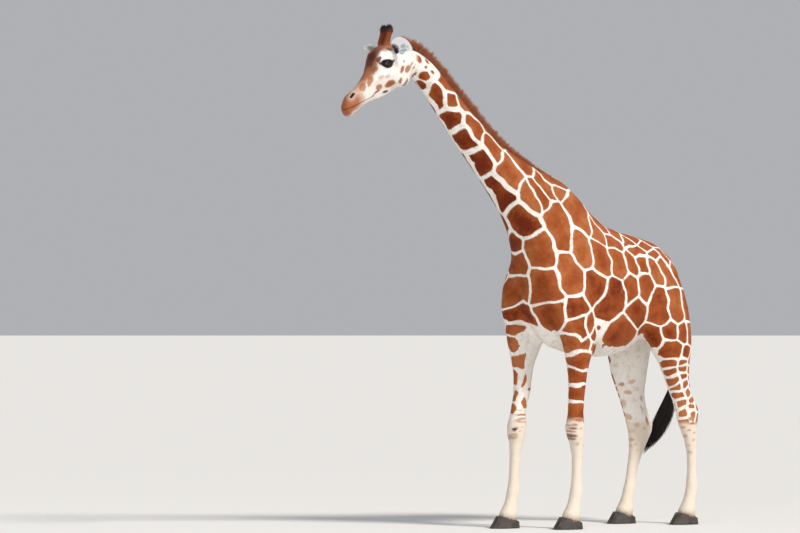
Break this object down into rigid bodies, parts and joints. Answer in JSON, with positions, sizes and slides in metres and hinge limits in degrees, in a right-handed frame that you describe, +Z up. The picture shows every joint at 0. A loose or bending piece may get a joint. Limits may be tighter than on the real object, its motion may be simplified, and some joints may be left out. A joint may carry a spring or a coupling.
{
  "type": "reticulated giraffe",
  "caption": "Life-size still model of an adult female reticulated giraffe, walking pose, neck raised forward, head turned slightly down.",
  "frame": {"origin": "on the ground, under the middle of the bounding box", "axes": "+Z up; the animal faces -X, and its left side is towards -Y"},
  "size_m": [3.327, 0.6486, 3.812],
  "materials": {
    "coat": "short flat hair, chestnut polygons parted by a net of cream lines",
    "pale_coat": "short flat cream hair with faint tan blotches",
    "mane_hair": "stiff upright red-brown hair",
    "black_hair": "long coarse black hair",
    "hoof": "dull dark horn, faintly ringed",
    "eye": "wet dark brown eye"
  },
  "bodies": {
    "root": {"head": "coat", "jaw": "pale_coat", "ear_left": "pale_coat", "ear_right": "pale_coat", "eye_left": "eye", "eye_right": "eye", "ossicone_left": "coat", "ossicone_right": "coat", "ossicone_tuft_left": "black_hair", "ossicone_tuft_right": "black_hair", "neck_upper": "coat", "neck_lower": "coat", "mane": "mane_hair", "trunk": "coat", "foreleg_upper_left": "coat", "foreleg_upper_right": "coat", "foreleg_lower_left": "pale_coat", "foreleg_lower_right": "pale_coat", "hindleg_upper_left": "coat", "hindleg_upper_right": "coat", "hindleg_lower_left": "pale_coat", "hindleg_lower_right": "pale_coat", "forehoof_left_inner": "hoof", "forehoof_left_outer": "hoof", "forehoof_right_inner": "hoof", "forehoof_right_outer": "hoof", "hindhoof_left_inner": "hoof", "hindhoof_left_outer": "hoof", "hindhoof_right_inner": "hoof", "hindhoof_right_outer": "hoof", "tail": "coat", "tail_tuft": "black_hair"}
  },
  "joints": []
}
